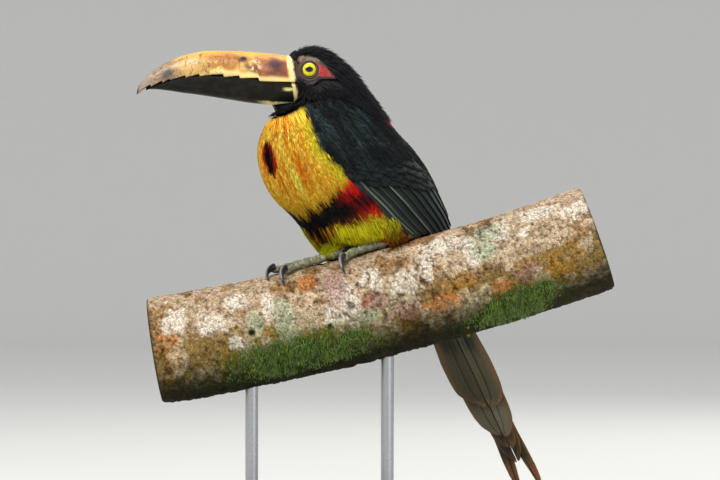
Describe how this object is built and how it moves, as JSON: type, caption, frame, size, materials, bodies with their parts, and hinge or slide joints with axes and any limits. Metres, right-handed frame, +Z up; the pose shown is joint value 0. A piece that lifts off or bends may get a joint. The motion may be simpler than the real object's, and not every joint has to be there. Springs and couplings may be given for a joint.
{
  "type": "collared aracari, still model",
  "caption": "Life-size still model of a collared aracari, a small toucan, perched on a cut length of branch on a rod stand.",
  "frame": {"origin": "centre of the underside of the stand's base", "axes": "+Z up; +X along the branch towards the tail, so the bill points to -X; +Y away from the side the bird's trunk is turned to"},
  "size_m": [0.2959, 0.1962, 0.2997],
  "materials": {
    "black_plumage": "glossy blue-black feathers",
    "yellow_plumage": "soft yellow, red and black feathers",
    "tail_plumage": "olive-grey feathers",
    "golden_bill": "worn satin horn, golden with maroon and grey",
    "black_bill": "satin black horn",
    "eye": "wet gloss",
    "toe_skin": "scaly, matt",
    "claw_horn": "polished horn",
    "bark": "rough bark with lichens and moss",
    "painted_base": "satin dark grey",
    "steel_rod": "brushed"
  },
  "bodies": {
    "root": {"head": "black_plumage", "neck": "black_plumage", "rump": "black_plumage", "wing_left": "black_plumage", "wing_right": "black_plumage", "trunk": "yellow_plumage", "bill_upper": "golden_bill", "bill_lower": "black_bill", "eye_left": "eye", "eye_right": "eye", "tail_feather_left_1": "tail_plumage", "tail_feather_left_2": "tail_plumage", "tail_feather_left_3": "tail_plumage", "tail_feather_left_4": "tail_plumage", "tail_feather_left_5": "tail_plumage", "toe_left_front_outer": "toe_skin", "claw_left_front_outer": "claw_horn", "toe_left_front_inner": "toe_skin", "claw_left_front_inner": "claw_horn", "toe_left_back_outer": "toe_skin", "claw_left_back_outer": "claw_horn", "toe_left_back_inner": "toe_skin", "claw_left_back_inner": "claw_horn", "leg_left": "toe_skin", "stand_rod_left": "steel_rod", "tail_feather_right_1": "tail_plumage", "tail_feather_right_2": "tail_plumage", "tail_feather_right_3": "tail_plumage", "tail_feather_right_4": "tail_plumage", "tail_feather_right_5": "tail_plumage", "toe_right_front_outer": "toe_skin", "claw_right_front_outer": "claw_horn", "toe_right_front_inner": "toe_skin", "claw_right_front_inner": "claw_horn", "toe_right_back_outer": "toe_skin", "claw_right_back_outer": "claw_horn", "toe_right_back_inner": "toe_skin", "claw_right_back_inner": "claw_horn", "leg_right": "toe_skin", "stand_rod_right": "steel_rod", "perch": "bark", "stand_base": "painted_base"}
  },
  "joints": []
}
